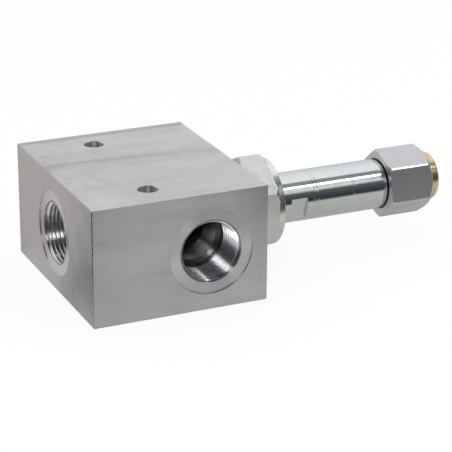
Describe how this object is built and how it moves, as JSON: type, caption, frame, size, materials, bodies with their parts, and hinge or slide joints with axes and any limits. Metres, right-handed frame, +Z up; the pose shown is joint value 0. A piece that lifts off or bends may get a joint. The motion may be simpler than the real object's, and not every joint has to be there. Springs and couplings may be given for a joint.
{
  "type": "solenoid cartridge valve in manifold block",
  "caption": "Aluminium manifold block with two threaded ports and a screw-in hydraulic cartridge valve, its armature tube bare, closed by a hexagon coil nut.",
  "frame": {"origin": "centre of the block's flat base, the face the valve is bolted down on", "axes": "+X along the cartridge towards the coil nut, -X out of the nose port, -Y out of the side port, +Z up through the mounting holes"},
  "size_m": [0.1782, 0.09, 0.05],
  "materials": {
    "manifold_block": "satin extruded and milled",
    "cartridge_body": "bright zinc plate",
    "cavity_o_ring": "moulded",
    "metering_sleeve": "blackened",
    "nose_o_ring": "moulded",
    "nose_backup_ring_inner": "moulded",
    "nose_backup_ring_outer": "moulded",
    "spool": "ground",
    "return_spring": "drawn wire",
    "spring_seat": "ground",
    "retaining_ring": "drawn wire",
    "push_rod": "ground",
    "pole_piece": "bright zinc plate",
    "pole_o_ring": "moulded",
    "nonmagnetic_ring": "bright zinc plate",
    "armature_tube": "bright zinc plate",
    "anti_stick_shim": "bright turned",
    "armature": "ground",
    "end_plug": "bright turned",
    "plug_o_ring": "moulded",
    "override_pin": "ground",
    "override_o_ring": "moulded",
    "coil_nut": "bright turned",
    "nut_seal_ring": "moulded"
  },
  "bodies": {
    "valve_body": {"manifold_block": "manifold_block", "cartridge_body": "cartridge_body", "cavity_o_ring": "cavity_o_ring", "metering_sleeve": "metering_sleeve", "nose_o_ring": "nose_o_ring", "nose_backup_ring_inner": "nose_backup_ring_inner", "nose_backup_ring_outer": "nose_backup_ring_outer", "return_spring": "return_spring", "spring_seat": "spring_seat", "retaining_ring": "retaining_ring", "pole_piece": "pole_piece", "pole_o_ring": "pole_o_ring", "nonmagnetic_ring": "nonmagnetic_ring", "armature_tube": "armature_tube", "anti_stick_shim": "anti_stick_shim", "end_plug": "end_plug", "plug_o_ring": "plug_o_ring"},
    "override": {"override_pin": "override_pin", "override_o_ring": "override_o_ring"},
    "moving_core": {"armature": "armature", "push_rod": "push_rod"},
    "valve_spool": {"spool": "spool"},
    "nut_seal": {"nut_seal_ring": "nut_seal_ring"},
    "nut": {"coil_nut": "coil_nut"}
  },
  "joints": [
    {"name": "override_push", "type": "slide", "parent": "valve_body", "child": "override", "axis": [-1, 0, 0], "range_m": [0, 0.004], "stiffness_N_per_m": 2500, "springref_m": -0.008},
    {"name": "armature_slide", "type": "slide", "parent": "valve_body", "child": "moving_core", "axis": [-1, 0, 0], "range_m": [0, 0.004]},
    {"name": "spool_slide", "type": "slide", "parent": "valve_body", "child": "valve_spool", "axis": [-1, 0, 0], "range_m": [0, 0.004], "deforming": ["return_spring"]},
    {"name": "nut_travel", "type": "slide", "parent": "valve_body", "child": "nut_seal", "axis": [1, 0, 0], "range_m": [0, 0.02635]},
    {"name": "nut_turn", "type": "hinge", "parent": "nut_seal", "child": "nut", "pos_m": [0.12465, 0, 0.025], "axis": [1, 0, 0], "range_deg": [0, 6300]}
  ],
  "couplings": [
    {"joint": "armature_slide", "follows": "override_push", "ratio": 1},
    {"joint": "spool_slide", "follows": "override_push", "ratio": 1},
    {"joint": "nut_travel", "follows": "nut_turn", "m_per_rad": 0.00023873}
  ]
}
